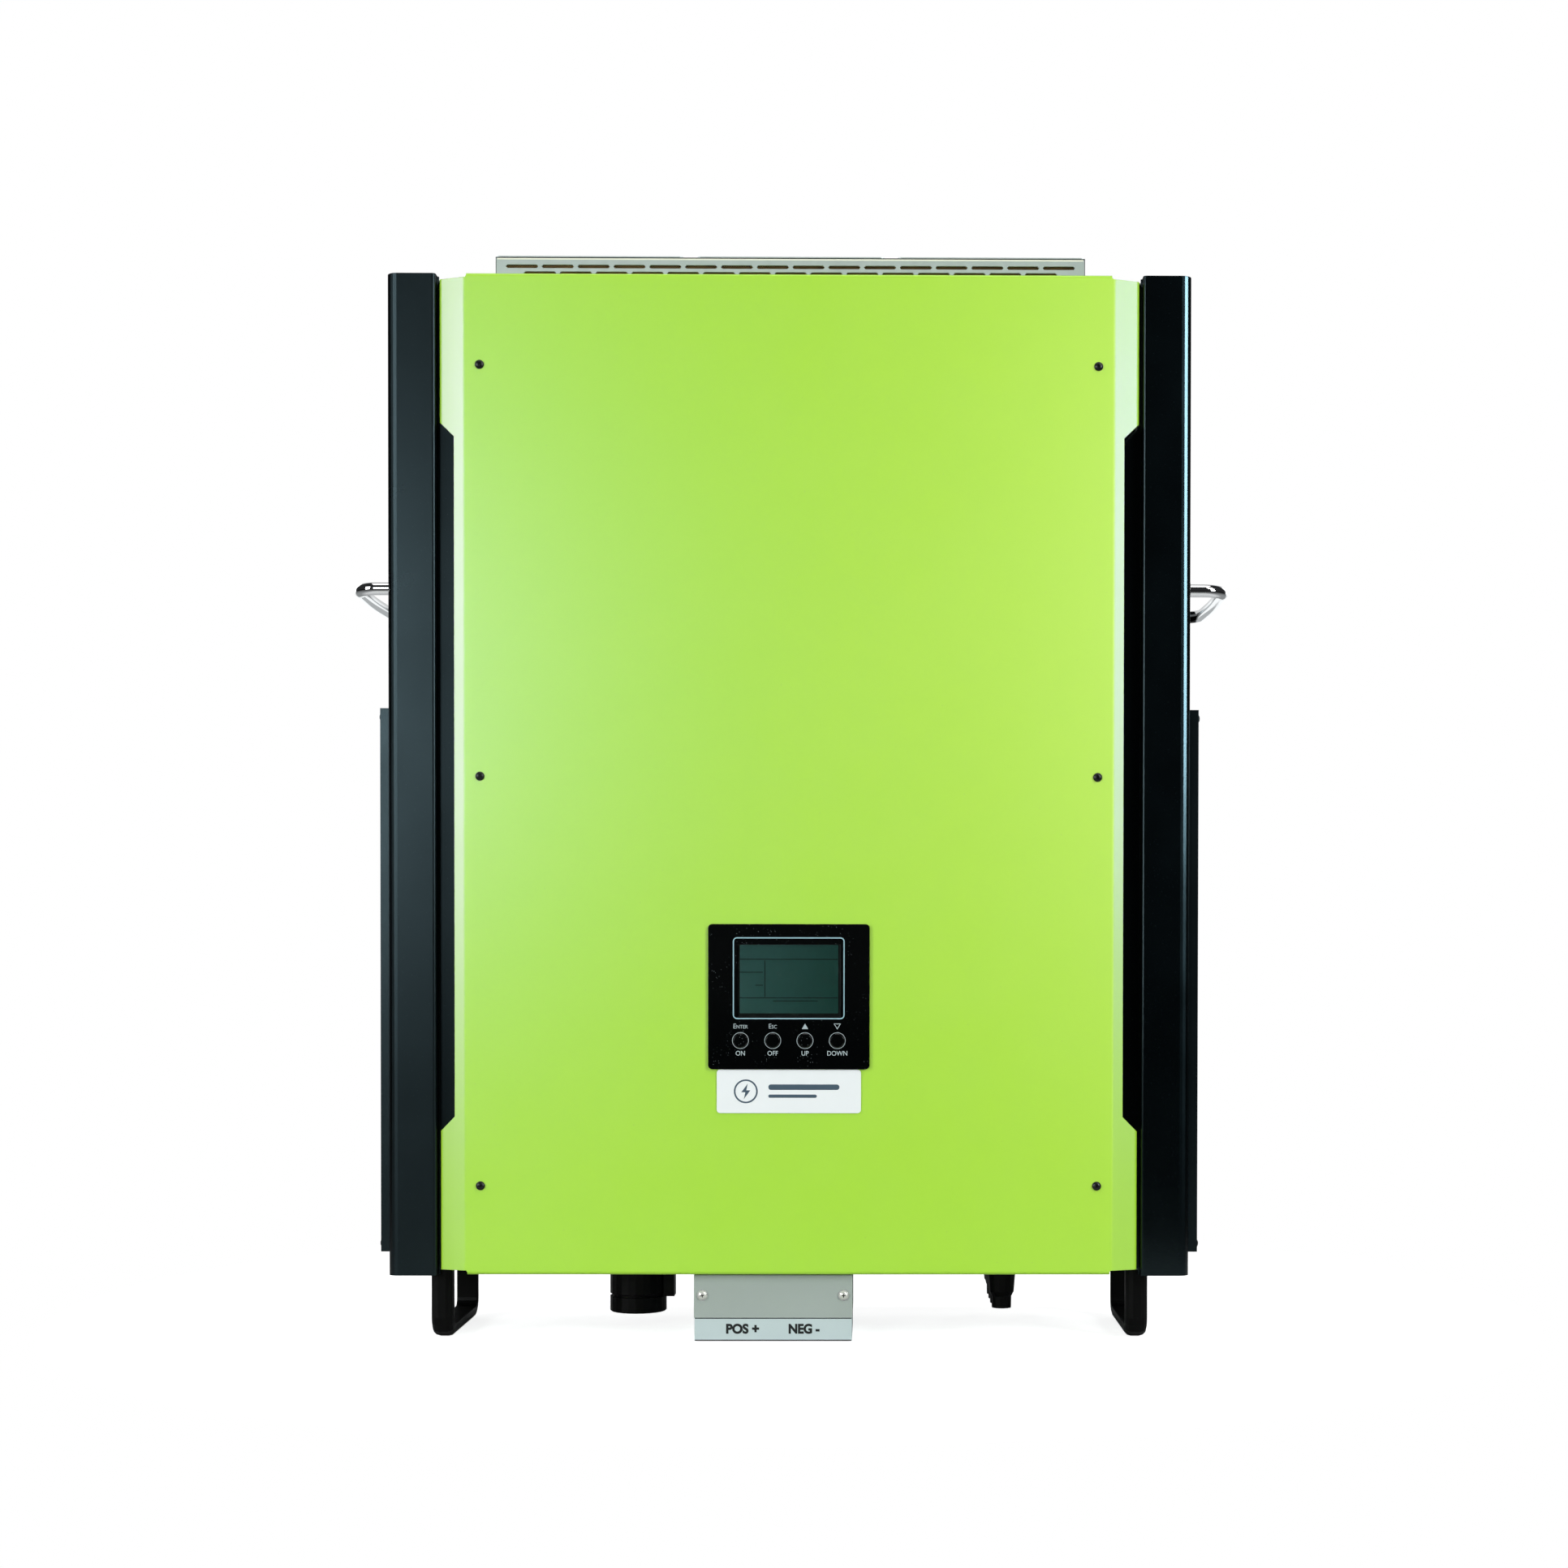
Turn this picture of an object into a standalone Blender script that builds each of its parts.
"""A wall-hung string inverter, as an assembly of its separate pieces.

Run with blender --background --python part.py, or from Blender's text editor.
Units are metres, +Z is up and the front faces -Y. The origin is the centre of
the wall bracket's back face, level with the middle of the casing.
"""

import math

import bmesh
import bpy
from mathutils import Vector

MM = 0.001

# Overall sizes
CASE_WIDTH = 500 * MM
CASE_HEIGHT = 622 * MM
CASE_DEPTH = 167.5 * MM
WALL_GAP = 8 * MM
CLEARANCE = 0.3 * MM
PAST = 5 * MM  # how far a cutter runs beyond the face it cuts

# Planes from the wall forwards
BACK_Y = -WALL_GAP
FRONT_Y = BACK_Y - CASE_DEPTH
COLUMN_Y = FRONT_Y + 6 * MM
LEDGE_Y = COLUMN_Y + 8 * MM
CHASSIS_FRONT_Y = LEDGE_Y + 1.8 * MM

# Chassis
SHEET = 1.5 * MM
CHASSIS_HALF_WIDTH = 228 * MM
CHASSIS_HALF_HEIGHT = 308.1 * MM
CHASSIS_OPENING = (182 * MM, 299 * MM)
BOSS_RADIUS = 5 * MM
THREAD_RADIUS = 1.7 * MM
SCREW_HOLE_RADIUS = 1.8 * MM

# Wall bracket
BRACKET_X = (-150 * MM, 150 * MM)
BRACKET_Z = (-45 * MM, 200 * MM)
BRACKET_SHEET = 2 * MM
HOOK_X = 100 * MM
HOOK_WIDTH = 40 * MM
HOOK_LEVEL = 155 * MM
HOOK_REACH = 13 * MM

# Front cover
COVER_SHEET = 1.2 * MM
COVER_FLAT_HALF_WIDTH = 201 * MM
COVER_HALF_WIDTH = 217 * MM
COVER_HALF_HEIGHT = 309.6 * MM
WING_HALF_HEIGHT = 307 * MM
NOTCH_BOTTOM = -221 * MM
NOTCH_TOP = 219 * MM
NOTCH_DEPTH = 9.5 * MM
FLANGE_BACK_Y = -158 * MM
SCREW_X = 191.2 * MM
SCREW_ROWS = [(row * 253.7 - 0.6) * MM for row in (1, 0, -1)]

# Side covers
COLUMN_INNER_X = 219.5 * MM
LEDGE_INNER_X = 203 * MM
LEDGE_HALF_HEIGHT = 307.5 * MM
GRILLE_Y = (-160 * MM, -22 * MM)
GRILLE_Z = (-297 * MM, 43 * MM)
GRILLE_HEIGHT = 5.7 * MM
GRILLE_SHEET = 1.2 * MM
GRILLE_SLOTS = 18
GRILLE_PITCH = 17 * MM
GRILLE_SLOT_HEIGHT = 8 * MM
INLET_Y = (-148 * MM, -34 * MM)
INLET_Z = (-285 * MM, 31 * MM)

# Cooling
FAN_PITCH = 125.8 * MM
FAN_SIZE = 119 * MM
FAN_THICKNESS = 25 * MM
FAN_Y = -83 * MM
FAN_BORE = 56 * MM
FAN_OUTLET = 54 * MM
FAN_HUB = 19 * MM
FAN_BLADES = 7
FAN_NAMES = ("left", "middle", "right")
VENT_HALF_WIDTH = 184.4 * MM
VENT_Y = (-154.5 * MM, -12 * MM)
VENT_TOP = 324.7 * MM
SLOT_LENGTH = 20.2 * MM
SLOT_HEIGHT = 2.2 * MM
SLOT_PITCH = 22.4 * MM
SLOT_ROWS = ((319.7 * MM, 16), (315.5 * MM, 15))
GUARD_WIDTH = 117.4 * MM
GUARD_SHEET = 1.2 * MM

# Display
BEZEL_SIZE = (100 * MM, 90 * MM)
BEZEL_Z = -136.8 * MM
BEZEL_SHEET = 1.2 * MM
WINDOW_SIZE = (64 * MM, 45 * MM)
WINDOW_Z = -127 * MM
MODULE_SIZE = (72 * MM, 53 * MM)
DISPLAY_OPENING = (40 * MM, (-172 * MM, -98 * MM))
DISPLAY_BOARD_X = 44 * MM
DISPLAY_BOARD_Z = (-178 * MM, -94 * MM)
BUTTON_Z = -164 * MM
BUTTON_PITCH = 20 * MM
BUTTON_RADIUS = 4.6 * MM
BUTTON_COLLAR = 5.6 * MM
BUTTON_NAMES = ("enter_button", "escape_button", "up_button", "down_button")
LABEL_SIZE = (89.4 * MM, 27 * MM)
LABEL_TOP = BEZEL_Z - 45.2 * MM

# Carry handles and feet
HANDLE_Z = 120.3 * MM
HANDLE_Y = (-141.5 * MM, -28.5 * MM)
HANDLE_X = 274.4 * MM
HANDLE_BOW = 2.2 * MM
HANDLE_RADIUS = 4 * MM
HANDLE_BEND = 13 * MM
HANDLE_BOW_RADIUS = 500 * MM
FOOT_X = 218.4 * MM
FOOT_Y = (-155.2 * MM, -60 * MM)
FOOT_BOTTOM = -352 * MM
FOOT_WIDTH = 14 * MM
FOOT_THICKNESS = 8 * MM

# Battery terminals
BATTERY_X = (-59.3 * MM, 39.5 * MM)
BATTERY_Y = (-170.5 * MM, -97 * MM)
BATTERY_TOP = -COVER_HALF_HEIGHT - 0.8 * MM
BATTERY_SEAM = -337.1 * MM
BATTERY_BOTTOM = -351.5 * MM
BATTERY_SCREW_X = (-54 * MM, 34 * MM)
BATTERY_SCREW_Z = -323 * MM
STUD_X = {"positive": -29 * MM, "negative": 9 * MM}
STUD_Y = -138 * MM
STUD_RADIUS = 4 * MM
STUD_NUT = (-324 * MM, -318.3 * MM)
STUD_TIP = -340 * MM
CABLE_HOLE_RADIUS = 9 * MM
TERMINAL_BLOCK_BOTTOM = -329 * MM

# Sockets in the bottom
GRID_SOCKET = (-101.5 * MM, -91.5 * MM)
GRID_SOCKET_TIP = -343.5 * MM
LOAD_SOCKET = (-10 * MM, -46 * MM)
LOAD_SOCKET_TIP = -336 * MM
SOCKET_RADIUS = 18.5 * MM
SOCKET_NECK = 16 * MM
PV_X = 136 * MM
PV_ROWS = [(-105.5 + row * 22) * MM for row in range(4)]
PV_NECK = 6 * MM

# Electronics
HEATSINK_X = 170 * MM
HEATSINK_Z = (-180 * MM, 230 * MM)
HEATSINK_FINS = 19
BOARD_SHEET = 1.6 * MM
POWER_BOARD_X = 180 * MM
POWER_BOARD_Y = -70 * MM
POWER_BOARD_Z = (-200 * MM, 240 * MM)
CONTROL_BOARD_X = 90 * MM
CONTROL_BOARD_Y = -135 * MM
CONTROL_BOARD_Z = (90 * MM, 210 * MM)
DISPLAY_BOARD_Y = FRONT_Y + 5.6 * MM
CAPACITOR_RADIUS = 17.5 * MM
CAPACITOR_LENGTH = 47 * MM
CAPACITOR_PITCH = 42 * MM
CAPACITOR_Z = 40 * MM
CHOKE_X = 90 * MM
CHOKE_Z = -110 * MM
CHOKE_RADIUS = 36 * MM
CHOKE_THICKNESS = 16 * MM


# ---------------------------------------------------------------- outlines


def circle(x, y, radius, steps=24):
    """Points round a circle."""
    turns = [2 * math.pi * i / steps for i in range(steps)]
    return [(x + radius * math.cos(t), y + radius * math.sin(t)) for t in turns]


def rounded_rectangle(x, y, radius, steps=4):
    """The outline between two limits on each axis, with its corners rounded."""
    corners = ((x[1], y[1], 0), (x[0], y[1], 1), (x[0], y[0], 2), (x[1], y[0], 3))
    points = []
    for cx, cy, quarter in corners:
        cx -= math.copysign(radius, cx - (x[0] + x[1]) / 2)
        cy -= math.copysign(radius, cy - (y[0] + y[1]) / 2)
        for step in range(steps + 1):
            turn = math.pi / 2 * (quarter + step / steps)
            points.append((cx + radius * math.cos(turn), cy + radius * math.sin(turn)))
    return points


def ring_sector(radii, middle, span, steps=5):
    """The outline of part of a ring, centred on an angle."""
    turns = [middle + span * (i / steps - 0.5) for i in range(steps + 1)]
    outer = [(radii[1] * math.cos(t), radii[1] * math.sin(t)) for t in turns]
    inner = [(radii[0] * math.cos(t), radii[0] * math.sin(t)) for t in reversed(turns)]
    return outer + inner


def filleted(path, radii, steps=5):
    """Points along an open path whose corners are arcs, each with its left-hand normal."""
    made = []
    for index, point in enumerate(path):
        here = Vector(point)
        back = (here - Vector(path[index - 1])).normalized() if index else None
        ahead = (Vector(path[index + 1]) - here).normalized() if index < len(path) - 1 else None
        if back is None or ahead is None:
            along = ahead or back
            made.append((here, Vector((-along.y, along.x))))
            continue
        turn = math.atan2(back.x * ahead.y - back.y * ahead.x, back.dot(ahead))
        radius = radii[index - 1]
        start = here - back * radius * math.tan(abs(turn) / 2)
        side = math.copysign(1, turn)
        centre = start + Vector((-back.y, back.x)) * radius * side
        for step in range(steps + 1):
            angle = turn * step / steps
            cos, sin = math.cos(angle), math.sin(angle)
            along = Vector((back.x * cos - back.y * sin, back.x * sin + back.y * cos))
            normal = Vector((-along.y, along.x))
            made.append((centre - normal * radius * side, normal))
    return made


def bent_sheet(path, radii, thickness, steps=5):
    """The outline of a folded sheet: its outer face follows the path, its thickness is on the left."""
    points = filleted(path, radii, steps)
    outer = [tuple(point) for point, normal in points]
    inner = [tuple(point + normal * thickness) for point, normal in reversed(points)]
    return outer + inner


# ------------------------------------------------------------------ solids


def new_object(bm):
    """Turns a bmesh into a linked object whose faces point out."""
    bmesh.ops.recalc_face_normals(bm, faces=bm.faces)
    mesh = bpy.data.meshes.new("shape")
    bm.to_mesh(mesh)
    bm.free()
    obj = bpy.data.objects.new("shape", mesh)
    bpy.context.scene.collection.objects.link(obj)
    return obj


def on_axis(axis, a, b, along):
    """A point from its distance along an axis and its two other coordinates, in X, Y, Z order."""
    return {"X": (along, a, b), "Y": (a, along, b), "Z": (a, b, along)}[axis]


def box(x, y, z):
    """A block between the low and high limits given for each axis."""
    bm = bmesh.new()
    bmesh.ops.create_cube(bm, size=2.0)
    for vert in bm.verts:
        vert.co = Vector(limits[sign > 0] for limits, sign in zip((x, y, z), vert.co))
    return new_object(bm)


def prism(outline, low, high, axis="Z"):
    """A closed outline extruded from low to high along an axis."""
    bm = bmesh.new()
    base = bm.faces.new([bm.verts.new(on_axis(axis, a, b, low)) for a, b in outline])
    top = bmesh.ops.extrude_face_region(bm, geom=[base])
    moved = [item for item in top["geom"] if isinstance(item, bmesh.types.BMVert)]
    bmesh.ops.translate(bm, verts=moved, vec=on_axis(axis, 0, 0, high - low))
    return new_object(bm)


def loft(rings):
    """A closed solid through rings of points, with a flat face on the first and last ring."""
    bm = bmesh.new()
    made = [[bm.verts.new(point) for point in ring] for ring in rings]
    for low, high in zip(made, made[1:]):
        for i in range(len(low)):
            j = (i + 1) % len(low)
            bm.faces.new((low[i], low[j], high[j], high[i]))
    bm.faces.new(made[0])
    bm.faces.new(made[-1])
    return new_object(bm)


def turned(profile, centre=(0, 0), axis="Z", steps=24):
    """A turned solid from (radius, distance along the axis) pairs, flat at both ends."""
    rings = []
    for radius, along in profile:
        outline = circle(centre[0], centre[1], radius, steps)
        rings.append([on_axis(axis, a, b, along) for a, b in outline])
    return loft(rings)


def swept(path, radii, section, place, steps=4):
    """A section carried along a flat path. Section points are (to the path's left, across the path)."""
    rings = []
    for point, normal in filleted(path, radii, steps):
        rings.append([place(*(point + normal * left), across) for left, across in section])
    return loft(rings)


def mirrored(outline):
    """An outline flipped to the other side of the middle."""
    return [(-a, b) for a, b in outline]


def merged(shapes):
    """Shapes that don't touch, held as one mesh so that they cut together."""
    bm = bmesh.new()
    for shape in shapes:
        bm.from_mesh(shape.data)
        bpy.data.objects.remove(shape)
    return new_object(bm)


def combined(target, operation, others):
    """The target after a Boolean with each of the others, which are used up."""
    for other in others:
        modifier = target.modifiers.new("Boolean", "BOOLEAN")
        modifier.operation = operation
        modifier.solver = "EXACT"
        modifier.object = other
    bpy.context.view_layer.update()
    graph = bpy.context.evaluated_depsgraph_get()
    baked = bpy.data.meshes.new_from_object(target.evaluated_get(graph))
    target.modifiers.clear()
    target.data = baked
    for other in others:
        bpy.data.objects.remove(other)
    return target


def cut(target, *cutters):
    """The target with the cutters taken away."""
    return combined(target, "DIFFERENCE", cutters)


def joined(target, *pieces):
    """The target and the pieces as one body."""
    return combined(target, "UNION", pieces)


# --------------------------------------------------------------- materials


def material(name, colour, roughness, metallic=0.0):
    """A Principled BSDF with a colour, roughness and metallic value."""
    made = bpy.data.materials.new(name)
    made.use_nodes = True
    shader = made.node_tree.nodes["Principled BSDF"]
    shader.inputs["Base Color"].default_value = (*colour, 1.0)
    shader.inputs["Roughness"].default_value = roughness
    shader.inputs["Metallic"].default_value = metallic
    return made


MATERIALS = {
    "green_paint": ((0.39, 0.76, 0.06), 0.35, 0.0),
    "black_paint": ((0.012, 0.015, 0.017), 0.45, 0.0),
    "zinc_steel": ((0.52, 0.57, 0.56), 0.38, 0.8),
    "chrome": ((0.80, 0.80, 0.80), 0.06, 1.0),
    "aluminium": ((0.62, 0.63, 0.65), 0.35, 0.9),
    "black_plastic": ((0.010, 0.010, 0.011), 0.40, 0.0),
    "gloss_black": ((0.006, 0.007, 0.008), 0.12, 0.0),
    "display_glass": ((0.05, 0.11, 0.10), 0.08, 0.0),
    "circuit_board": ((0.02, 0.16, 0.07), 0.45, 0.0),
    "capacitor_sleeve": ((0.02, 0.02, 0.05), 0.35, 0.0),
    "copper_winding": ((0.55, 0.22, 0.07), 0.30, 0.8),
    "brass": ((0.72, 0.52, 0.20), 0.30, 0.9),
    "white_label": ((0.85, 0.88, 0.86), 0.40, 0.0),
    "grey_cable": ((0.45, 0.47, 0.50), 0.55, 0.0),
    "black_screw": ((0.015, 0.015, 0.016), 0.35, 0.3),
    "bright_screw": ((0.70, 0.70, 0.68), 0.25, 0.9),
}


def named(obj, name, slot):
    """Gives a finished piece its name and its material, and shades its round faces smooth."""
    obj.name = name
    obj.data.name = name
    obj.data.materials.clear()
    obj.data.materials.append(MATERIALS[slot])
    obj.data.shade_smooth()
    obj.data.set_sharp_from_angle(angle=math.radians(30))
    return obj


def copied(source, name, location):
    """Another piece of the same shape, which shares its mesh, moved by a location."""
    obj = bpy.data.objects.new(name, source.data)
    obj.location = location
    bpy.context.scene.collection.objects.link(obj)
    return obj


# ----------------------------------------------------------------- casing


def fan_centres():
    """The centre of each fan along X."""
    return [column * FAN_PITCH for column in (-1, 0, 1)]


def screw_places():
    """The front cover's screws as (x, z), left then right in each row, from the top row down."""
    return [(side * SCREW_X, row) for row in SCREW_ROWS for side in (-1, 1)]


def cable_opening(margin):
    """The two limits along X and along Y around both battery studs, with a margin."""
    along = sorted(STUD_X.values())
    return (along[0] - margin, along[-1] + margin), (STUD_Y - margin, STUD_Y + margin)


def make_chassis():
    """The galvanised steel tray that everything is fixed to, open at the front inside a flange."""
    wide, high = CHASSIS_HALF_WIDTH, CHASSIS_HALF_HEIGHT
    body = box((-wide, wide), (CHASSIS_FRONT_Y, BACK_Y), (-high, high))
    cavity = box(
        (SHEET - wide, wide - SHEET),
        (CHASSIS_FRONT_Y + SHEET, BACK_Y - SHEET),
        (SHEET - high, high - SHEET),
    )
    body = cut(body, cavity)
    boss_y = (FRONT_Y + COVER_SHEET + CLEARANCE, CHASSIS_FRONT_Y + SHEET / 2)
    bosses = [prism(circle(x, z, BOSS_RADIUS, 12), *boss_y, "Y") for x, z in screw_places()]
    body = joined(body, merged(bosses))

    mouth_x, mouth_z = CHASSIS_OPENING
    mouth_y = (CHASSIS_FRONT_Y - PAST, CHASSIS_FRONT_Y + 2 * SHEET)
    front_holes = [box((-mouth_x, mouth_x), mouth_y, (-mouth_z, mouth_z))]
    thread_y = (FRONT_Y, CHASSIS_FRONT_Y + PAST)
    front_holes += [prism(circle(x, z, THREAD_RADIUS, 8), *thread_y, "Y") for x, z in screw_places()]
    top = (high - PAST, high + PAST)
    fan_holes = [prism(circle(x, FAN_Y, FAN_OUTLET), *top) for x in fan_centres()]

    under = (-high - PAST, -high + PAST)
    sockets = [
        prism(circle(x, y, SOCKET_NECK + CLEARANCE), *under)
        for x, y in (GRID_SOCKET, LOAD_SOCKET)
    ]
    sockets += [prism(circle(PV_X, y, PV_NECK + CLEARANCE, 12), *under) for y in PV_ROWS]
    sockets.append(box(*cable_opening(10 * MM), under))

    inlets = [
        box((side * wide - PAST, side * wide + PAST), INLET_Y, INLET_Z)
        for side in (-1, 1)
    ]
    behind = (BACK_Y - PAST, BACK_Y + PAST)
    slot_half = HOOK_WIDTH / 2 + 4 * MM
    slot_z = (HOOK_LEVEL - HOOK_REACH - 7 * MM, HOOK_LEVEL + CLEARANCE)
    hook_slots = [box((x - slot_half, x + slot_half), behind, slot_z) for x in (-HOOK_X, HOOK_X)]
    holes = front_holes + fan_holes + sockets + inlets + hook_slots
    named(cut(body, merged(holes)), "chassis", "zinc_steel")


def make_front_cover():
    """The painted sheet cover: a flat front, two shallow side wings, and flanges top and bottom."""
    back_edge = LEDGE_Y - 0.8 * MM
    path = [
        (-COVER_HALF_WIDTH, back_edge),
        (-COVER_HALF_WIDTH, COLUMN_Y),
        (-COVER_FLAT_HALF_WIDTH, FRONT_Y),
        (COVER_FLAT_HALF_WIDTH, FRONT_Y),
        (COVER_HALF_WIDTH, COLUMN_Y),
        (COVER_HALF_WIDTH, back_edge),
    ]
    bends = [2.5 * MM, 5 * MM, 5 * MM, 2.5 * MM]
    outline = bent_sheet(path, bends, COVER_SHEET, 4)
    cover = prism(outline, -COVER_HALF_HEIGHT, COVER_HALF_HEIGHT)

    flange_path = [(FRONT_Y, -COVER_HALF_HEIGHT + 6 * MM), (FRONT_Y, -COVER_HALF_HEIGHT)]
    flange_path.append((FLANGE_BACK_Y, -COVER_HALF_HEIGHT))
    flange = bent_sheet(flange_path, [2 * MM], COVER_SHEET * 0.999, 4)
    flange_half = COVER_FLAT_HALF_WIDTH - 1.5 * MM
    corner = 2 * MM
    reach = COVER_HALF_WIDTH + PAST
    trim_y = (FRONT_Y - PAST, COLUMN_Y)
    wing_y = (FRONT_Y - 2 * PAST, back_edge + PAST)
    trims, flanges = [], []
    for side in (-1, 1):
        end = [(y, side * z) for y, z in flange]
        flanges.append(prism(end, -flange_half, flange_half, "X"))
        lip = (side * (COVER_HALF_HEIGHT - corner), side * (COVER_HALF_HEIGHT + PAST))
        trims.append(box((-reach, reach), trim_y, sorted(lip)))
        for hand in (-1, 1):
            tip = (side * WING_HALF_HEIGHT, side * (COVER_HALF_HEIGHT + 2 * PAST))
            wing = (hand * (COVER_FLAT_HALF_WIDTH - 1 * MM), hand * 2 * reach)
            trims.append(box(sorted(wing), wing_y, sorted(tip)))
    cover = cut(cover, *trims)
    cover = joined(cover, *flanges)

    holes = [cover_notch(-1), cover_notch(1)]
    through = (FRONT_Y - PAST, FRONT_Y + 2 * COVER_SHEET)
    opening_x, opening_z = DISPLAY_OPENING
    holes.append(box((-opening_x, opening_x), through, opening_z))
    holes += [prism(circle(x, z, SCREW_HOLE_RADIUS, 8), *through, "Y") for x, z in screw_places()]
    named(cut(cover, merged(holes)), "front_cover", "green_paint")


def cover_notch(side):
    """The cutter for the long notch in one wing, with its ends at 45 degrees."""
    inner = COVER_HALF_WIDTH - NOTCH_DEPTH
    outer = COVER_HALF_WIDTH + PAST
    outline = [
        (side * outer, NOTCH_BOTTOM - PAST),
        (side * inner, NOTCH_BOTTOM + NOTCH_DEPTH),
        (side * inner, NOTCH_TOP - NOTCH_DEPTH),
        (side * outer, NOTCH_TOP + PAST),
    ]
    return prism(outline, FRONT_Y - PAST, LEDGE_Y + PAST, "Y")


def make_side_cover(name, side):
    """A black folded side: its front is the tall column, and a ledge runs in behind the front cover."""
    half, edge = CASE_WIDTH / 2, COLUMN_INNER_X
    path = [
        (-CHASSIS_HALF_WIDTH - CLEARANCE, BACK_Y),
        (-half, BACK_Y),
        (-half, COLUMN_Y),
        (-edge, COLUMN_Y),
        (-edge, LEDGE_Y),
        (-LEDGE_INNER_X, LEDGE_Y),
    ]
    outline = bent_sheet(path, [2.5 * MM, 6.5 * MM, 2 * MM, 0.5 * MM], SHEET, 5)
    rear = BACK_Y - SHEET / 2
    wall = [
        (-half + 3 * MM, rear),
        (-half + 0.6 * MM, rear - 3 * MM),
        (-half + 0.6 * MM, COLUMN_Y + 6 * MM),
        (-half + 6 * MM, COLUMN_Y + 0.6 * MM),
    ]
    top_cap = wall + [(-edge - 0.8 * MM, COLUMN_Y + 1.6 * MM), (-edge - 0.8 * MM, rear)]
    foot_gap = FOOT_X + FOOT_WIDTH / 2 + 2 * MM
    bottom_cap = wall + [(-foot_gap, COLUMN_Y + 0.6 * MM), (-foot_gap, rear)]
    if side > 0:
        outline, top_cap, bottom_cap = map(mirrored, (outline, top_cap, bottom_cap))
    half_height = CASE_HEIGHT / 2
    cap_z = (CHASSIS_HALF_HEIGHT + CLEARANCE, half_height - 0.4 * MM)
    cover = prism(outline, -half_height, half_height)
    cover = joined(cover, prism(top_cap, *cap_z), prism(bottom_cap, -cap_z[1], -cap_z[0]))
    ledge_x = sorted((side * (edge - 0.8 * MM), side * (LEDGE_INNER_X - PAST)))
    ledge_y = (LEDGE_Y - 2 * SHEET, LEDGE_Y + PAST)
    trims = [
        box(ledge_x, ledge_y, sorted((end * LEDGE_HALF_HEIGHT, end * (half_height + PAST))))
        for end in (-1, 1)
    ]
    window = box((side * half - PAST, side * half + PAST), INLET_Y, INLET_Z)
    named(cut(cover, merged(trims + [window])), name, "black_paint")


def make_inlet_grille(name, side):
    """The raised black grille over a side's air inlet, with a row of slots."""
    low = CASE_WIDTH / 2 + CLEARANCE
    high = low + GRILLE_HEIGHT
    body = box(sorted((side * low, side * high)), GRILLE_Y, GRILLE_Z)
    pocket = box(
        sorted((side * (low - PAST), side * (high - GRILLE_SHEET))),
        (GRILLE_Y[0] + GRILLE_SHEET, GRILLE_Y[1] - GRILLE_SHEET),
        (GRILLE_Z[0] + GRILLE_SHEET, GRILLE_Z[1] - GRILLE_SHEET),
    )
    slot_x = sorted((side * (high - 2 * GRILLE_SHEET), side * (high + PAST)))
    slot_y = (INLET_Y[0] + 3 * MM, INLET_Y[1] - 3 * MM)
    middle = (INLET_Z[0] + INLET_Z[1]) / 2
    slots = []
    for row in range(GRILLE_SLOTS):
        z = middle + (row - (GRILLE_SLOTS - 1) / 2) * GRILLE_PITCH
        slots.append(box(slot_x, slot_y, (z - GRILLE_SLOT_HEIGHT / 2, z + GRILLE_SLOT_HEIGHT / 2)))
    named(cut(cut(body, pocket), merged(slots)), name, "black_paint")


def make_wall_bracket():
    """The wall plate, with two hooks that reach through the chassis back and four screw holes."""
    sheet = BRACKET_SHEET
    plate = box(BRACKET_X, (-sheet, 0), BRACKET_Z)
    path = [
        (-sheet / 2, HOOK_LEVEL),
        (-HOOK_REACH, HOOK_LEVEL),
        (-HOOK_REACH, HOOK_LEVEL + HOOK_REACH),
    ]
    outline = bent_sheet(path, [3 * MM], sheet, 3)
    half = HOOK_WIDTH / 2
    hooks = [prism(outline, x - half, x + half, "X") for x in (-HOOK_X, HOOK_X)]
    plate = joined(plate, *hooks)
    inset = 20 * MM
    holes = [
        prism(circle(x, z, 3.5 * MM, 12), -PAST, PAST, "Y")
        for x in (BRACKET_X[0] + inset, BRACKET_X[1] - inset)
        for z in (BRACKET_Z[0] + inset, BRACKET_Z[1] - inset)
    ]
    named(cut(plate, merged(holes)), "wall_bracket", "zinc_steel")


# ---------------------------------------------------------------- cooling


def slot_outline(x, z):
    """A level slot with rounded ends."""
    half, radius = SLOT_LENGTH / 2, SLOT_HEIGHT / 2
    return rounded_rectangle((x - half, x + half), (z - radius, z + radius), radius * 0.9, 1)


def make_top_vent():
    """The shallow box over the fans, slotted along its front and open above each fan."""
    half = VENT_HALF_WIDTH
    low = CHASSIS_HALF_HEIGHT + CLEARANCE
    body = box((-half, half), VENT_Y, (low, VENT_TOP))
    inner = box(
        (COVER_SHEET - half, half - COVER_SHEET),
        (VENT_Y[0] + COVER_SHEET, VENT_Y[1] - COVER_SHEET),
        (low - PAST, VENT_TOP - COVER_SHEET),
    )
    slot_y = (VENT_Y[0] - PAST, VENT_Y[0] + PAST)
    cutters = []
    for z, count in SLOT_ROWS:
        for column in range(count):
            x = (column - (count - 1) / 2) * SLOT_PITCH
            cutters.append(prism(slot_outline(x, z), *slot_y, "Y"))
    roof = (VENT_TOP - PAST, VENT_TOP + PAST)
    cutters += [prism(circle(x, FAN_Y, FAN_OUTLET - 1 * MM, 32), *roof) for x in fan_centres()]
    named(cut(cut(body, inner), merged(cutters)), "top_vent_box", "zinc_steel")


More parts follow.
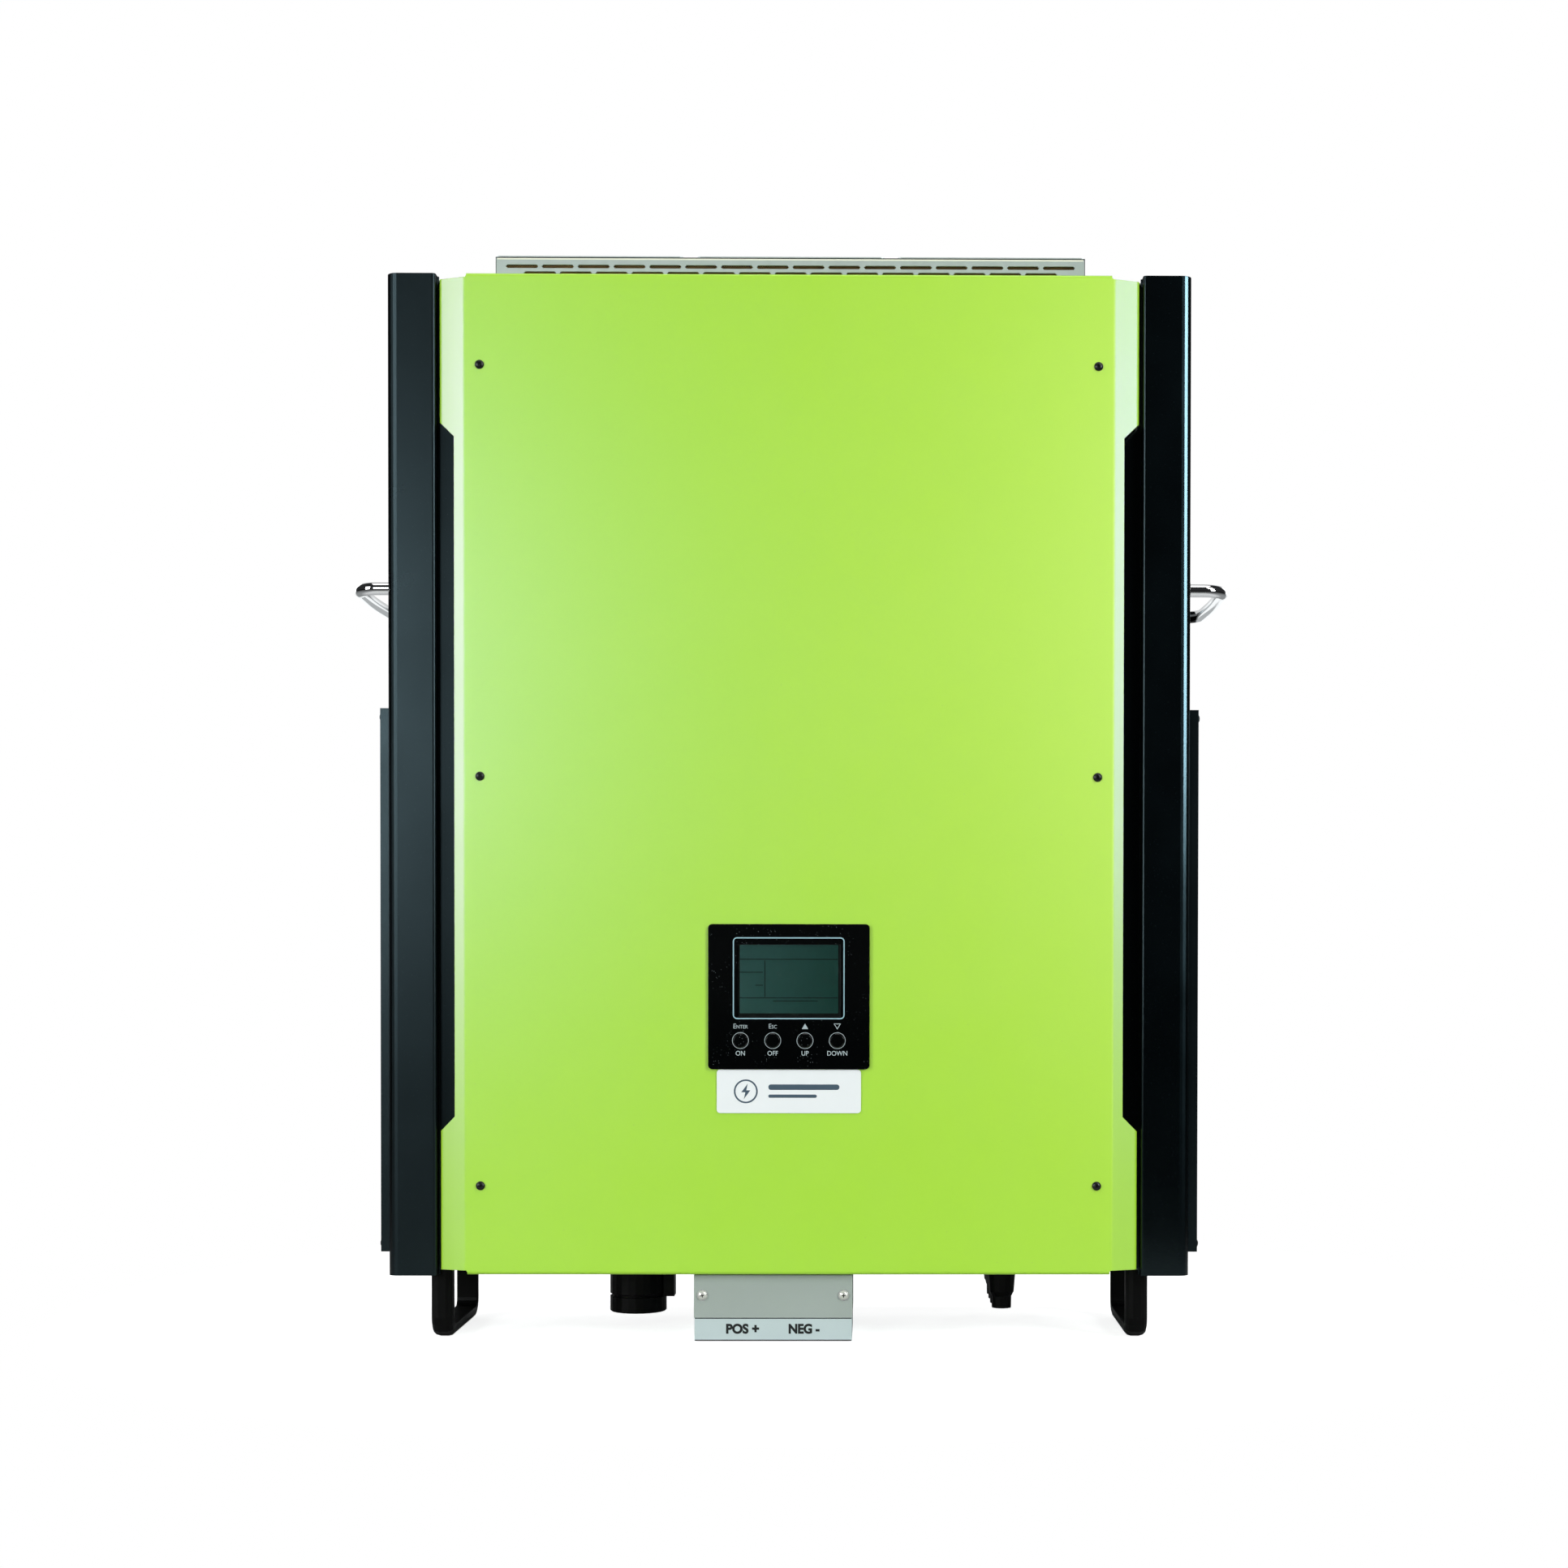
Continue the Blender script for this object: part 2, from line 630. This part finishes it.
def make_vent_mesh():
    """The fine wire mesh that lines the slotted front of the vent box."""
    front = VENT_Y[0] + COVER_SHEET + CLEARANCE
    reach = VENT_HALF_WIDTH - COVER_SHEET - CLEARANCE
    height = (CHASSIS_HALF_HEIGHT + 2 * CLEARANCE, VENT_TOP - COVER_SHEET - CLEARANCE)
    named(box((-reach, reach), (front, front + 0.8 * MM), height), "vent_mesh", "brass")


def make_fan_guards():
    """A pressed cover plate for each fan bay, with ring slots between its spokes."""
    half = GUARD_WIDTH / 2
    low = VENT_TOP + CLEARANCE
    edges = (VENT_Y[0] - FAN_Y, VENT_Y[1] - FAN_Y)
    plate = prism(rounded_rectangle((-half, half), edges, 2 * MM, 2), low, low + GUARD_SHEET)
    rings = ((16 * MM, 32 * MM), (36 * MM, 51 * MM))
    span = math.radians(78)
    slots = [
        prism(ring_sector(radii, math.pi / 2 * quarter, span), low - PAST, low + PAST)
        for radii in rings
        for quarter in range(4)
    ]
    guard = cut(plate, merged(slots))
    place_fan_parts(guard, "fan_guard", "zinc_steel")


def make_fan_frames():
    """Each fan's square frame: a round duct, and four struts that hold the motor."""
    half = FAN_SIZE / 2
    low = CHASSIS_HALF_HEIGHT - SHEET - CLEARANCE - FAN_THICKNESS
    high = low + FAN_THICKNESS
    frame = prism(rounded_rectangle((-half, half), (-half, half), 4 * MM, 2), low, high)
    frame = cut(frame, prism(circle(0, 0, FAN_BORE, 28), low - PAST, high + PAST))
    reach = FAN_BORE + 1.5 * MM
    strut = 2.5 * MM
    motor = prism(circle(0, 0, FAN_HUB + 1 * MM, 20), low + 0.2 * MM, low + 5.4 * MM)
    struts = [
        box((-reach, reach), (-strut, strut), (low + 0.5 * MM, low + 4 * MM)),
        box((-strut, strut), (-reach, reach), (low + 0.6 * MM, low + 4.1 * MM)),
    ]
    place_fan_parts(joined(frame, motor, *struts), "fan_frame", "black_plastic")


def blade(angle, low):
    """One fan blade: three stations out along it, its pitch easing towards the tip."""
    stations = (
        (16 * MM, math.radians(38), 20 * MM),
        (34 * MM, math.radians(31), 26 * MM),
        (53 * MM, math.radians(26), 32 * MM),
    )
    half_sheet = 0.8 * MM
    rings = []
    for radius, pitch, chord in stations:
        ring = []
        for along, thick in ((-1, -1), (1, -1), (1, 1), (-1, 1)):
            run = along * chord / 2 * math.cos(pitch) - thick * half_sheet * math.sin(pitch)
            rise = along * chord / 2 * math.sin(pitch) + thick * half_sheet * math.cos(pitch)
            x, y = radius, run
            turned_x = x * math.cos(angle) - y * math.sin(angle)
            turned_y = x * math.sin(angle) + y * math.cos(angle)
            ring.append((turned_x, turned_y, low + rise))
        rings.append(ring)
    return loft(rings)


def make_fan_rotors():
    """Each fan's rotor: a hub with its blades, turning about its own upright axis."""
    low = CHASSIS_HALF_HEIGHT - SHEET - CLEARANCE - FAN_THICKNESS
    profile = [
        (FAN_HUB, low + 6 * MM),
        (FAN_HUB, low + 22 * MM),
        (FAN_HUB - 1.5 * MM, low + 23.5 * MM),
    ]
    hub = turned(profile, steps=20)
    blades = [blade(2 * math.pi * i / FAN_BLADES, low + 14.5 * MM) for i in range(FAN_BLADES)]
    place_fan_parts(joined(hub, *blades), "fan_rotor", "black_plastic")


def place_fan_parts(shape, kind, slot):
    """Puts a fan piece at each of the three fans, on the fan's axis."""
    named(shape, f"{kind}_{FAN_NAMES[0]}", slot)
    shape.location = (fan_centres()[0], FAN_Y, 0)
    for name, x in list(zip(FAN_NAMES, fan_centres()))[1:]:
        copied(shape, f"{kind}_{name}", (x, FAN_Y, 0))


# -------------------------------------------------------- handles and feet


def make_carry_handle(name, side):
    """A round chrome bow handle that lies level along the side, its grip bowed a little outwards."""
    root = CASE_WIDTH / 2 + CLEARANCE
    near, far = HANDLE_Y
    grip = (HANDLE_X + HANDLE_BOW, (near + far) / 2)
    path = [(root, near), (HANDLE_X, near), grip, (HANDLE_X, far), (root, far)]
    section = circle(0, 0, HANDLE_RADIUS, 16)
    bends = [HANDLE_BEND, HANDLE_BOW_RADIUS, HANDLE_BEND]
    bar = swept(path, bends, section, lambda x, y, up: (side * x, y, HANDLE_Z + up), 6)
    named(bar, name, "chrome")


def foot_section():
    """The foot's section: a broad bar, well rounded outside and nearly square inside."""
    wide, thick = FOOT_WIDTH / 2, FOOT_THICKNESS / 2
    outside, inside = 4.5 * MM, 0.8 * MM
    corners = ((1, 1, inside), (-1, 1, outside), (-1, -1, outside), (1, -1, inside))
    points = []
    for quarter, (left, across, radius) in enumerate(corners):
        x = left * (thick - radius)
        y = across * (wide - radius)
        for step in range(4):
            turn = math.pi / 2 * (quarter + step / 3)
            points.append((x + radius * math.cos(turn), y + radius * math.sin(turn)))
    return points


def make_foot(name, side):
    """A black bow foot under one side, long enough to keep the sockets off the floor."""
    top = -CHASSIS_HALF_HEIGHT - CLEARANCE
    level = FOOT_BOTTOM + FOOT_THICKNESS / 2
    path = [(FOOT_Y[0], top), (FOOT_Y[0], level), (FOOT_Y[1], level), (FOOT_Y[1], top)]
    middle = side * FOOT_X
    bar = swept(path, [9 * MM, 9 * MM], foot_section(), lambda y, z, across: (middle + across, y, z))
    named(bar, name, "black_plastic")


# ---------------------------------------------------------------- display


def make_display():
    """The bezel, its window, the display module and board behind it, and the label below."""
    half_x, half_z = BEZEL_SIZE[0] / 2, BEZEL_SIZE[1] / 2
    back = FRONT_Y - CLEARANCE
    front = back - BEZEL_SHEET
    outline = rounded_rectangle((-half_x, half_x), (BEZEL_Z - half_z, BEZEL_Z + half_z), 2.5 * MM)
    bezel = prism(outline, front, back, "Y")
    window_x, window_z = WINDOW_SIZE[0] / 2, WINDOW_SIZE[1] / 2
    through = (front - PAST, back + PAST)
    holes = [box((-window_x, window_x), through, (WINDOW_Z - window_z, WINDOW_Z + window_z))]
    hole_radius = BUTTON_RADIUS + 0.25 * MM
    holes += [prism(circle(x, BUTTON_Z, hole_radius, 20), *through, "Y") for x in button_columns()]
    named(cut(bezel, merged(holes)), "display_bezel", "gloss_black")

    x, z = window_x - CLEARANCE, window_z - CLEARANCE
    pane = box((-x, x), (front + 0.1 * MM, back - 0.1 * MM), (WINDOW_Z - z, WINDOW_Z + z))
    named(pane, "display_window", "display_glass")
    x, z = MODULE_SIZE[0] / 2, MODULE_SIZE[1] / 2
    module_y = (FRONT_Y + 0.2 * MM, DISPLAY_BOARD_Y - CLEARANCE)
    named(box((-x, x), module_y, (WINDOW_Z - z, WINDOW_Z + z)), "display_module", "display_glass")
    board_y = (DISPLAY_BOARD_Y, DISPLAY_BOARD_Y + BOARD_SHEET)
    board = box((-DISPLAY_BOARD_X, DISPLAY_BOARD_X), board_y, DISPLAY_BOARD_Z)
    named(board, "display_board", "circuit_board")
    label_x = LABEL_SIZE[0] / 2
    label = prism(
        rounded_rectangle((-label_x, label_x), (LABEL_TOP - LABEL_SIZE[1], LABEL_TOP), 2 * MM),
        back - 0.4 * MM,
        back,
        "Y",
    )
    named(label, "blank_label", "white_label")


def button_columns():
    """The centre of each button along X."""
    return [(column - 1.5) * BUTTON_PITCH for column in range(4)]


def make_buttons():
    """Four push buttons, each kept behind the bezel by its collar."""
    face = FRONT_Y - CLEARANCE - BEZEL_SHEET - 0.6 * MM
    collar = FRONT_Y + 0.1 * MM
    profile = [
        (BUTTON_RADIUS - 0.5 * MM, face),
        (BUTTON_RADIUS, face + 0.5 * MM),
        (BUTTON_RADIUS, collar),
        (BUTTON_COLLAR, collar),
        (BUTTON_COLLAR, DISPLAY_BOARD_Y - 1.3 * MM),
    ]
    shape = named(turned(profile, (0, BUTTON_Z), "Y", 20), BUTTON_NAMES[0], "gloss_black")
    shape.location = (button_columns()[0], 0, 0)
    for name, x in list(zip(BUTTON_NAMES, button_columns()))[1:]:
        copied(shape, name, (x, 0, 0))


# ---------------------------------------------------------------- sockets


def make_power_sockets():
    """The round grid and load sockets. The grid socket has a locking block on one side."""
    top = -CHASSIS_HALF_HEIGHT
    for name, (x, y), tip in (
        ("grid_connector", GRID_SOCKET, GRID_SOCKET_TIP),
        ("load_connector", LOAD_SOCKET, LOAD_SOCKET_TIP),
    ):
        groove = tip + 11 * MM
        profile = [
            (SOCKET_NECK, top + 14 * MM),
            (SOCKET_NECK, top - CLEARANCE),
            (SOCKET_RADIUS, top - CLEARANCE),
            (SOCKET_RADIUS, groove + 1 * MM),
            (SOCKET_RADIUS - 1.2 * MM, groove + 0.5 * MM),
            (SOCKET_RADIUS - 1.2 * MM, groove - 0.5 * MM),
            (SOCKET_RADIUS, groove - 1 * MM),
            (SOCKET_RADIUS, tip + 0.8 * MM),
            (SOCKET_RADIUS - 0.8 * MM, tip),
            (SOCKET_RADIUS - 3 * MM, tip),
            (SOCKET_RADIUS - 3 * MM, top - 2 * MM),
        ]
        if name == "load_connector":
            profile = profile[:3] + profile[7:]
        body = turned(profile, (x, y))
        if name == "grid_connector":
            reach = x + SOCKET_RADIUS
            lock_x = (reach - 2 * MM, reach + 5.5 * MM)
            lock = box(lock_x, (y - 7 * MM, y + 7 * MM), (tip + 10 * MM, top - 0.8 * MM))
            body = joined(body, lock)
        named(body, name, "black_plastic")


def make_solar_connectors():
    """Four single-pole solar connectors in a row from front to back."""
    top = -CHASSIS_HALF_HEIGHT
    profile = [
        (PV_NECK, top + 12 * MM),
        (PV_NECK, top - CLEARANCE),
        (9.4 * MM, top - CLEARANCE),
        (9.3 * MM, top - 6 * MM),
        (8.1 * MM, top - 21 * MM),
        (6.5 * MM, top - 24 * MM),
        (6.3 * MM, top - 31.5 * MM),
        (3.6 * MM, top - 31.5 * MM),
        (3.6 * MM, top - 10 * MM),
    ]
    shape = turned(profile, (PV_X, 0), steps=14)
    named(shape, "solar_connector_1", "black_plastic")
    shape.location = (0, PV_ROWS[0], 0)
    for number, y in enumerate(PV_ROWS[1:], start=2):
        copied(shape, f"solar_connector_{number}", (0, y, 0))


def make_battery_terminals():
    """The battery studs on their block, under a folded cover and a lid with two cable holes."""
    sheet = COVER_SHEET
    cover = box(BATTERY_X, BATTERY_Y, (BATTERY_SEAM, BATTERY_TOP))
    inside_x = (BATTERY_X[0] + sheet, BATTERY_X[1] - sheet)
    inside_y = (BATTERY_Y[0] + sheet, BATTERY_Y[1] + PAST)
    inside = box(inside_x, inside_y, (BATTERY_SEAM - PAST, BATTERY_TOP + PAST))
    screw_y = (BATTERY_Y[0] - PAST, BATTERY_Y[0] + 2 * sheet)
    holes = [battery_screw_hole(x, SCREW_HOLE_RADIUS, screw_y) for x in BATTERY_SCREW_X]
    named(cut(cover, inside, merged(holes)), "battery_terminal_cover", "zinc_steel")

    lid_x = (BATTERY_X[0] + 0.3 * MM, BATTERY_X[1] - 0.3 * MM)
    lid_y = (BATTERY_Y[0] + 0.2 * MM, BATTERY_Y[1])
    lid = box(lid_x, lid_y, (BATTERY_BOTTOM, BATTERY_SEAM - 0.4 * MM))
    hollow = box(
        (lid_x[0] + sheet, lid_x[1] - sheet),
        (lid_y[0] + sheet, lid_y[1] - sheet),
        (BATTERY_BOTTOM + sheet, BATTERY_SEAM + PAST),
    )
    floor = (BATTERY_BOTTOM - PAST, BATTERY_BOTTOM + PAST)
    outlets = [prism(circle(x, STUD_Y, CABLE_HOLE_RADIUS), *floor) for x in STUD_X.values()]
    named(cut(lid, hollow, merged(outlets)), "battery_cover_lid", "zinc_steel")

    gap = sheet + CLEARANCE
    seat = STUD_NUT[1] + CLEARANCE
    block_x = (BATTERY_X[0] + gap, BATTERY_X[1] - gap)
    block_y = (BATTERY_Y[0] + gap, STUD_Y + 26 * MM)
    block = box(block_x, block_y, (TERMINAL_BLOCK_BOTTOM, BATTERY_TOP))
    recess_x, recess_y = cable_opening(15 * MM)
    recess = box(recess_x, (STUD_Y - 20 * MM, recess_y[1]), (TERMINAL_BLOCK_BOTTOM - PAST, seat))
    thread_y = (BATTERY_Y[0] - PAST, BATTERY_Y[0] + 12.5 * MM)
    threads = [battery_screw_hole(x, THREAD_RADIUS, thread_y) for x in BATTERY_SCREW_X]
    bore = STUD_RADIUS + CLEARANCE
    bore_z = (seat - PAST, BATTERY_TOP + PAST)
    bores = [prism(circle(x, STUD_Y, bore, 16), *bore_z) for x in STUD_X.values()]
    named(cut(block, recess, merged(threads), merged(bores)), "battery_terminal_block", "black_plastic")

    nut_low, nut_high = STUD_NUT
    for pole, x in STUD_X.items():
        profile = [
            (STUD_RADIUS, BATTERY_TOP),
            (STUD_RADIUS, nut_high),
            (7.5 * MM, nut_high),
            (7.5 * MM, nut_low),
            (STUD_RADIUS, nut_low),
            (STUD_RADIUS, STUD_TIP + 1 * MM),
            (STUD_RADIUS - 0.8 * MM, STUD_TIP),
        ]
        named(turned(profile, (x, STUD_Y), steps=12), f"{pole}_stud", "brass")


def battery_screw_hole(x, radius, depth):
    """The cutter for one of the two screws in the front of the battery cover."""
    return prism(circle(x, BATTERY_SCREW_Z, radius, 12), *depth, "Y")


# ------------------------------------------------------------ electronics


def make_heatsink():
    """An extruded heat sink, its fins pointing back so that air is drawn up between them."""
    base = (-62 * MM, -56 * MM)
    tip = -17 * MM
    fin = 2 * MM
    pitch = (2 * HEATSINK_X - fin) / (HEATSINK_FINS - 1)
    outline = [(-HEATSINK_X, base[0]), (HEATSINK_X, base[0])]
    for index in reversed(range(HEATSINK_FINS)):
        left = -HEATSINK_X + index * pitch
        if index < HEATSINK_FINS - 1:
            outline.append((left + fin, base[1]))
        outline += [(left + fin, tip), (left, tip)]
        if index:
            outline.append((left, base[1]))
    named(prism(outline, *HEATSINK_Z), "heatsink", "aluminium")


def make_boards():
    """The power board in front of the heat sink, and the control board in front of that."""
    for name, half, front, height in (
        ("power_board", POWER_BOARD_X, POWER_BOARD_Y, POWER_BOARD_Z),
        ("control_board", CONTROL_BOARD_X, CONTROL_BOARD_Y, CONTROL_BOARD_Z),
    ):
        named(box((-half, half), (front, front + BOARD_SHEET), height), name, "circuit_board")


def make_capacitors():
    """Four upright electrolytic capacitors on the power board."""
    root = POWER_BOARD_Y - CLEARANCE
    profile = [
        (CAPACITOR_RADIUS, root),
        (CAPACITOR_RADIUS, root - CAPACITOR_LENGTH + 2 * MM),
        (CAPACITOR_RADIUS - 1.5 * MM, root - CAPACITOR_LENGTH),
    ]
    shape = turned(profile, (0, CAPACITOR_Z), "Y")
    named(shape, "bus_capacitor_1", "capacitor_sleeve")
    shape.location = (-1.5 * CAPACITOR_PITCH, 0, 0)
    for number in (2, 3, 4):
        copied(shape, f"bus_capacitor_{number}", ((number - 2.5) * CAPACITOR_PITCH, 0, 0))


def make_chokes():
    """Two toroidal filter chokes low on the power board."""
    middle = POWER_BOARD_Y - CHOKE_THICKNESS - 6 * MM
    for name, x in (("filter_choke_left", -CHOKE_X), ("filter_choke_right", CHOKE_X)):
        rings, around, across = [], 20, 8
        bm = bmesh.new()
        for i in range(around):
            turn = 2 * math.pi * i / around
            cos, sin = math.cos(turn), math.sin(turn)
            section = circle(CHOKE_RADIUS, middle, CHOKE_THICKNESS, across)
            points = [(x + a * cos, y, CHOKE_Z + a * sin) for a, y in section]
            rings.append([bm.verts.new(point) for point in points])
        for i in range(around):
            for j in range(across):
                here, there = rings[i], rings[(i + 1) % around]
                k = (j + 1) % across
                bm.faces.new((here[j], here[k], there[k], there[j]))
        named(new_object(bm), name, "copper_winding")


def make_ribbon_cable():
    """The flat cable from the display board up to the control board."""
    run = CONTROL_BOARD_Y - 17 * MM
    low, high = DISPLAY_BOARD_Z[0] + 73 * MM, CONTROL_BOARD_Z[0] + 20 * MM
    path = [
        (DISPLAY_BOARD_Y + BOARD_SHEET + CLEARANCE, low),
        (run, low),
        (run, high),
        (CONTROL_BOARD_Y - CLEARANCE, high),
    ]
    half, wide = 0.5 * MM, 12 * MM
    section = [(-half, -wide), (half, -wide), (half, wide), (-half, wide)]
    cable = swept(path, [8 * MM, 8 * MM], section, lambda y, z, across: (across, y, z), 5)
    named(cable, "ribbon_cable", "grey_cable")


# ----------------------------------------------------------------- screws


def screw(head_radius, head_height, length):
    """A pan head machine screw along Y, its head seated at the origin."""
    seat = -CLEARANCE
    profile = [
        (head_radius * 0.62, seat - head_height),
        (head_radius * 0.93, seat - head_height * 0.6),
        (head_radius, seat),
        (1.4 * MM, seat),
        (1.4 * MM, length),
    ]
    return turned(profile, axis="Y", steps=12)


def make_screws():
    """Six black screws in the front cover, and two bright ones in the battery cover."""
    black = named(screw(2.8 * MM, 1.5 * MM, 11 * MM), "cover_screw_1", "black_screw")
    places = [(x, FRONT_Y, z) for x, z in screw_places()]
    black.location = places[0]
    for number, place in enumerate(places[1:], start=2):
        copied(black, f"cover_screw_{number}", place)
    bright = named(screw(3 * MM, 1.8 * MM, 8 * MM), "battery_cover_screw_left", "bright_screw")
    left, right = BATTERY_SCREW_X
    bright.location = (left, BATTERY_Y[0], BATTERY_SCREW_Z)
    copied(bright, "battery_cover_screw_right", (right, BATTERY_Y[0], BATTERY_SCREW_Z))


def main():
    for obj in list(bpy.data.objects):
        bpy.data.objects.remove(obj)
    for slot, values in MATERIALS.items():
        MATERIALS[slot] = material(slot, *values)
    make_chassis()
    make_front_cover()
    make_side_cover("left_side_cover", -1)
    make_side_cover("right_side_cover", 1)
    make_inlet_grille("left_inlet_grille", -1)
    make_inlet_grille("right_inlet_grille", 1)
    make_wall_bracket()
    make_top_vent()
    make_vent_mesh()
    make_fan_guards()
    make_fan_frames()
    make_fan_rotors()
    make_carry_handle("left_carry_handle", -1)
    make_carry_handle("right_carry_handle", 1)
    make_foot("left_foot", -1)
    make_foot("right_foot", 1)
    make_display()
    make_buttons()
    make_power_sockets()
    make_solar_connectors()
    make_battery_terminals()
    make_heatsink()
    make_boards()
    make_capacitors()
    make_chokes()
    make_ribbon_cable()
    make_screws()


main()
